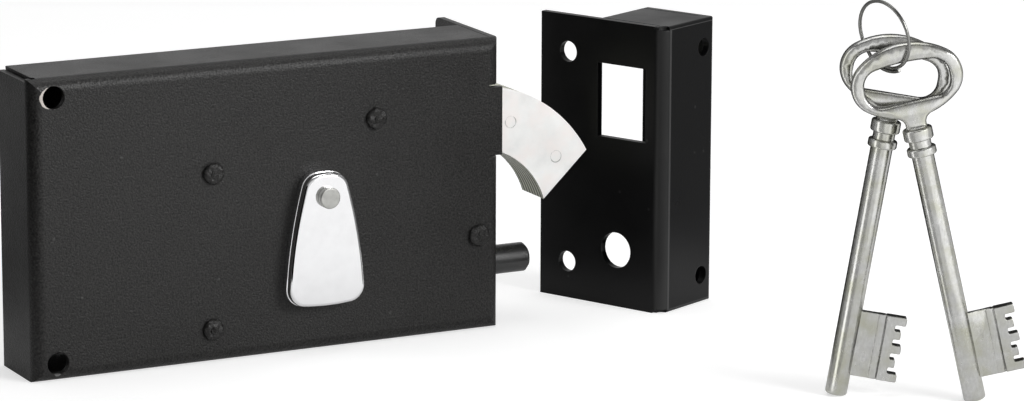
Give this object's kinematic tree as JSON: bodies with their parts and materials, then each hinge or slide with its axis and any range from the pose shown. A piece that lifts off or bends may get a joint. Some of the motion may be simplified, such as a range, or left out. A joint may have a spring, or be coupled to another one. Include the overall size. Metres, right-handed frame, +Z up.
{
  "type": "gate lock",
  "caption": "Black surface-mounted gate lock with a laminated swinging hook bolt, a drop keyhole cover, a folded keeper and its keys on a wire ring.",
  "frame": {"origin": "middle of the underside of the lock case", "axes": "+X to the hook and the forend, +Y to the gate that the lock is fixed to, +Z up"},
  "size_m": [0.2215, 0.1646, 0.1042],
  "materials": {
    "black_coat": "satin powder coat with a fine texture",
    "hook_zinc": "bright zinc plate",
    "rivet_steel": "dull steel",
    "mechanism_steel": "stamped steel",
    "spring_steel": "tempered spring steel",
    "cover_chrome": "polished",
    "key_nickel": "cast and zinc-plated, satin",
    "ring_wire": "drawn wire"
  },
  "bodies": {
    "case": {"front_case": "black_coat", "back_plate": "black_coat", "hook_pivot_post": "black_coat", "lever_post": "black_coat", "upper_case_post": "black_coat", "lower_case_post": "black_coat", "hook_pivot_sleeve": "mechanism_steel", "lever_post_sleeves": "mechanism_steel", "guide_stud": "black_coat", "cover_rivet": "rivet_steel"},
    "hook": {"hook_plate_1": "hook_zinc", "hook_plate_2": "hook_zinc", "hook_plate_3": "hook_zinc", "hook_plate_4": "hook_zinc", "hook_plate_5": "hook_zinc", "hook_plate_6": "hook_zinc", "hook_plate_7": "hook_zinc", "hook_plate_8": "hook_zinc", "hook_rivets": "hook_zinc", "hook_stump": "mechanism_steel"},
    "cover": {"keyhole_cover": "cover_chrome"},
    "lever_body_1": {"lever_1": "mechanism_steel", "lever_spring_1": "spring_steel"},
    "lever_body_2": {"lever_2": "mechanism_steel", "lever_spring_2": "spring_steel"},
    "lever_body_3": {"lever_3": "mechanism_steel", "lever_spring_3": "spring_steel"},
    "lever_body_4": {"lever_4": "mechanism_steel", "lever_spring_4": "spring_steel"},
    "keeper_body": {"keeper": "black_coat"},
    "ring_body": {"key_ring": "ring_wire"},
    "front_key_body": {"key_front": "key_nickel"},
    "rear_key_body": {"key_rear": "key_nickel"}
  },
  "joints": [
    {"name": "hook_swing", "type": "hinge", "parent": "case", "child": "hook", "pos_m": [0.06095, 0, 0.0265], "axis": [0, -1, 0], "range_deg": [0, 56]},
    {"name": "cover_swing", "type": "hinge", "parent": "case", "child": "cover", "pos_m": [0.014, 0, 0.0426], "axis": [0, -1, 0], "range_deg": [-75, 75]},
    {"name": "lever_1_drop", "type": "hinge", "parent": "case", "child": "lever_body_1", "pos_m": [0.0305, 0, 0.0615], "axis": [0, -1, 0], "range_deg": [-4, 0]},
    {"name": "lever_2_drop", "type": "hinge", "parent": "case", "child": "lever_body_2", "pos_m": [0.0305, 0, 0.0615], "axis": [0, -1, 0], "range_deg": [-4, 0]},
    {"name": "lever_3_drop", "type": "hinge", "parent": "case", "child": "lever_body_3", "pos_m": [0.0305, 0, 0.0615], "axis": [0, -1, 0], "range_deg": [-4, 0]},
    {"name": "lever_4_drop", "type": "hinge", "parent": "case", "child": "lever_body_4", "pos_m": [0.0305, 0, 0.0615], "axis": [0, -1, 0], "range_deg": [-4, 0]},
    {"name": "keeper_away", "type": "slide", "parent": "case", "child": "keeper_body", "axis": [0.9063, 0.4226, 0], "range_m": [0, 0.1]},
    {"name": "ring_lift", "type": "slide", "parent": "case", "child": "ring_body", "axis": [0, 0, 1], "range_m": [0, 0.1]},
    {"name": "front_key_swing", "type": "hinge", "parent": "ring_body", "child": "front_key_body", "pos_m": [0.1226, -0.12241, 0.0869], "axis": [-0.4579, -0.889, 0], "range_deg": [-2, 45]},
    {"name": "rear_key_swing", "type": "hinge", "parent": "ring_body", "child": "rear_key_body", "pos_m": [0.12108, -0.11521, 0.08735], "axis": [-0.4579, -0.889, 0], "range_deg": [-60, 2]}
  ]
}
